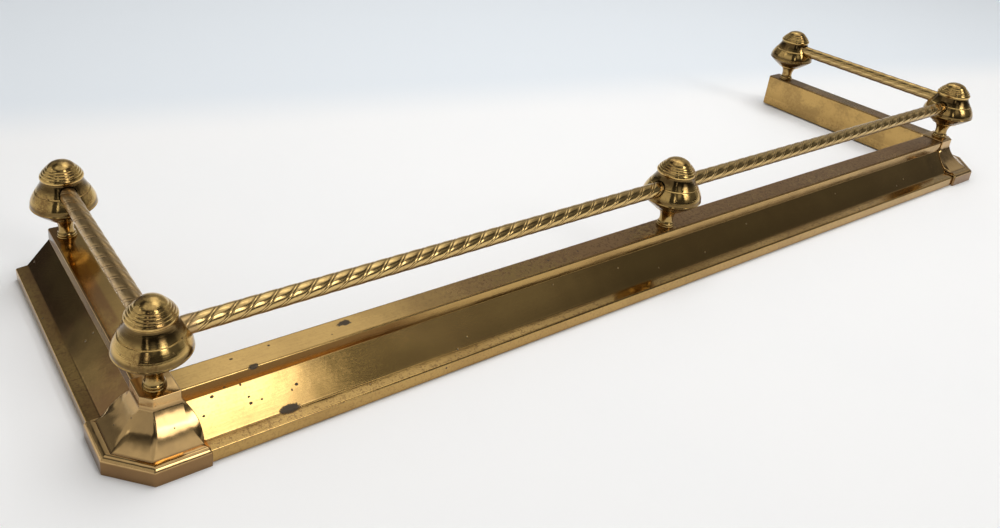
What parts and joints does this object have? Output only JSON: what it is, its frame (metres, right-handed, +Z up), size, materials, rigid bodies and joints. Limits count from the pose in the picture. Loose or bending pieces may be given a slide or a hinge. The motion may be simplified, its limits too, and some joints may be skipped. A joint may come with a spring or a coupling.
{
  "type": "fire fender",
  "caption": "Low three-sided hearth fender: folded kerb with cast corner sleeves, ringed finials and twisted tube rails.",
  "frame": {"origin": "on the floor, at the middle of the overall width and depth", "axes": "+X along the front kerb to the viewer's right, +Y back towards the fireplace, +Z up"},
  "size_m": [1.2252, 0.3275, 0.1302],
  "materials": {
    "kerb_brass": "lacquered folded brass sheet, satin, with speckled patina",
    "cast_brass": "polished cast brass, pinkish bronze",
    "spun_brass": "polished turned and spun brass",
    "rail_brass": "twisted brass tube, dark in the grooves",
    "steel": "plain steel, dull"
  },
  "bodies": {
    "fender": {"front_kerb": "kerb_brass", "left_return_kerb": "kerb_brass", "right_return_kerb": "kerb_brass", "left_corner_casting": "cast_brass", "right_corner_casting": "cast_brass", "left_corner_plate": "steel", "right_corner_plate": "steel", "front_left_finial_pedestal": "spun_brass", "front_left_finial_body": "spun_brass", "front_left_finial_cap": "spun_brass", "front_left_finial_stud": "steel", "front_left_finial_washer": "steel", "front_left_finial_nut": "steel", "front_right_finial_pedestal": "spun_brass", "front_right_finial_body": "spun_brass", "front_right_finial_cap": "spun_brass", "front_right_finial_stud": "steel", "front_right_finial_washer": "steel", "front_right_finial_nut": "steel", "centre_finial_pedestal": "spun_brass", "centre_finial_body": "spun_brass", "centre_finial_cap": "spun_brass", "centre_finial_stud": "steel", "centre_finial_washer": "steel", "centre_finial_nut": "steel", "back_left_finial_pedestal": "spun_brass", "back_left_finial_body": "spun_brass", "back_left_finial_cap": "spun_brass", "back_left_finial_stud": "steel", "back_left_finial_washer": "steel", "back_left_finial_nut": "steel", "back_right_finial_pedestal": "spun_brass", "back_right_finial_body": "spun_brass", "back_right_finial_cap": "spun_brass", "back_right_finial_stud": "steel", "back_right_finial_washer": "steel", "back_right_finial_nut": "steel"},
    "front_left_rail": {"front_left_rail": "rail_brass"},
    "front_right_rail": {"front_right_rail": "rail_brass"},
    "left_side_rail": {"left_side_rail": "rail_brass"},
    "right_side_rail": {"right_side_rail": "rail_brass"}
  },
  "joints": [
    {"name": "front_left_rail_turn", "type": "hinge", "parent": "fender", "child": "front_left_rail", "pos_m": [-0.282, -0.1153, 0.097], "axis": [1, 0, 0], "continuous": true},
    {"name": "front_right_rail_turn", "type": "hinge", "parent": "fender", "child": "front_right_rail", "pos_m": [0.282, -0.1153, 0.097], "axis": [1, 0, 0], "continuous": true},
    {"name": "left_side_rail_turn", "type": "hinge", "parent": "fender", "child": "left_side_rail", "pos_m": [-0.564, 0.0092, 0.1018], "axis": [0, 1, 0], "continuous": true},
    {"name": "right_side_rail_turn", "type": "hinge", "parent": "fender", "child": "right_side_rail", "pos_m": [0.564, 0.0092, 0.1018], "axis": [0, 1, 0], "continuous": true}
  ]
}
